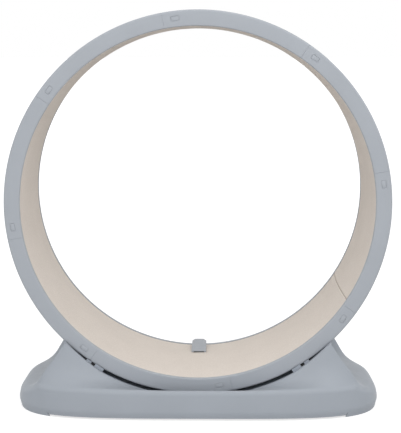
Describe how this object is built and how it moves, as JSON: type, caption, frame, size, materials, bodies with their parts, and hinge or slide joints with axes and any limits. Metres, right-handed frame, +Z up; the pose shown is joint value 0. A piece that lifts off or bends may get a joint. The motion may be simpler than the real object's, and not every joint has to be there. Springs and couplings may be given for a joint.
{
  "type": "cat exercise wheel",
  "caption": "Running wheel for a cat: a broad ring of snap-together hollow segments lined with felt, spinning on rollers in a low moulded base, with a swinging rim lock.",
  "frame": {"origin": "on the floor below the middle of the base", "axes": "+Z up, +Y from the front face to the rear along the ring's axle line, +X along the base to the right seen from the front"},
  "size_m": [1, 0.4756, 1.0455],
  "materials": {
    "shell_plastic": "satin moulded grey-blue",
    "felt": "short beige felt",
    "dark_plastic": "dark grey, matt",
    "tyre_rubber": "black, matt",
    "foot_rubber": "black, matt",
    "bearing_steel": "polished"
  },
  "bodies": {
    "base": {"floor_pan": "dark_plastic", "ring_cradle": "shell_plastic", "base_front_panel": "shell_plastic", "base_rear_panel": "shell_plastic", "base_end_cap_left": "shell_plastic", "base_end_cap_right": "shell_plastic", "roller_carrier_front_left": "shell_plastic", "roller_carrier_rear_left": "shell_plastic", "roller_carrier_front_right": "shell_plastic", "roller_carrier_rear_right": "shell_plastic", "roller_axle_front_left": "bearing_steel", "roller_axle_rear_left": "bearing_steel", "roller_axle_front_right": "bearing_steel", "roller_axle_rear_right": "bearing_steel", "rubber_foot_front_left": "foot_rubber", "rubber_foot_rear_left": "foot_rubber", "rubber_foot_front_right": "foot_rubber", "rubber_foot_rear_right": "foot_rubber", "lock_bracket": "shell_plastic", "lock_pin": "bearing_steel"},
    "wheel": {"ring_segment_1": "shell_plastic", "ring_segment_2": "shell_plastic", "ring_segment_3": "shell_plastic", "ring_segment_4": "shell_plastic", "ring_segment_5": "shell_plastic", "ring_segment_6": "shell_plastic", "ring_segment_7": "shell_plastic", "ring_segment_8": "shell_plastic", "track_mat": "felt"},
    "roller_front_left": {"roller_tyre_front_left": "tyre_rubber", "roller_hub_front_left": "dark_plastic", "roller_bearing_front_left_inner": "bearing_steel", "roller_bearing_front_left_outer": "bearing_steel"},
    "roller_rear_left": {"roller_tyre_rear_left": "tyre_rubber", "roller_hub_rear_left": "dark_plastic", "roller_bearing_rear_left_inner": "bearing_steel", "roller_bearing_rear_left_outer": "bearing_steel"},
    "roller_front_right": {"roller_tyre_front_right": "tyre_rubber", "roller_hub_front_right": "dark_plastic", "roller_bearing_front_right_inner": "bearing_steel", "roller_bearing_front_right_outer": "bearing_steel"},
    "roller_rear_right": {"roller_tyre_rear_right": "tyre_rubber", "roller_hub_rear_right": "dark_plastic", "roller_bearing_rear_right_inner": "bearing_steel", "roller_bearing_rear_right_outer": "bearing_steel"},
    "lock": {"lock_arm": "shell_plastic", "lock_pad": "foot_rubber"}
  },
  "joints": [
    {"name": "wheel_spin", "type": "hinge", "parent": "base", "child": "wheel", "pos_m": [0, 0, 0.5455], "axis": [0, 1, 0], "continuous": true},
    {"name": "roller_spin_front_left", "type": "hinge", "parent": "base", "child": "roller_front_left", "pos_m": [-0.28999, -0.1445, 0.10738], "axis": [0, 1, 0], "continuous": true},
    {"name": "roller_spin_rear_left", "type": "hinge", "parent": "base", "child": "roller_rear_left", "pos_m": [-0.28999, 0.1445, 0.10738], "axis": [0, 1, 0], "continuous": true},
    {"name": "roller_spin_front_right", "type": "hinge", "parent": "base", "child": "roller_front_right", "pos_m": [0.28999, -0.1445, 0.10738], "axis": [0, 1, 0], "continuous": true},
    {"name": "roller_spin_rear_right", "type": "hinge", "parent": "base", "child": "roller_rear_right", "pos_m": [0.28999, 0.1445, 0.10738], "axis": [0, 1, 0], "continuous": true},
    {"name": "lock_swing", "type": "hinge", "parent": "base", "child": "lock", "pos_m": [0, 0.188, 0.0693], "axis": [-1, 0, 0], "range_deg": [0, 100]}
  ],
  "couplings": [
    {"joint": "roller_spin_front_left", "follows": "wheel_spin", "ratio": -20},
    {"joint": "roller_spin_rear_left", "follows": "wheel_spin", "ratio": -20},
    {"joint": "roller_spin_front_right", "follows": "wheel_spin", "ratio": -20},
    {"joint": "roller_spin_rear_right", "follows": "wheel_spin", "ratio": -20}
  ]
}
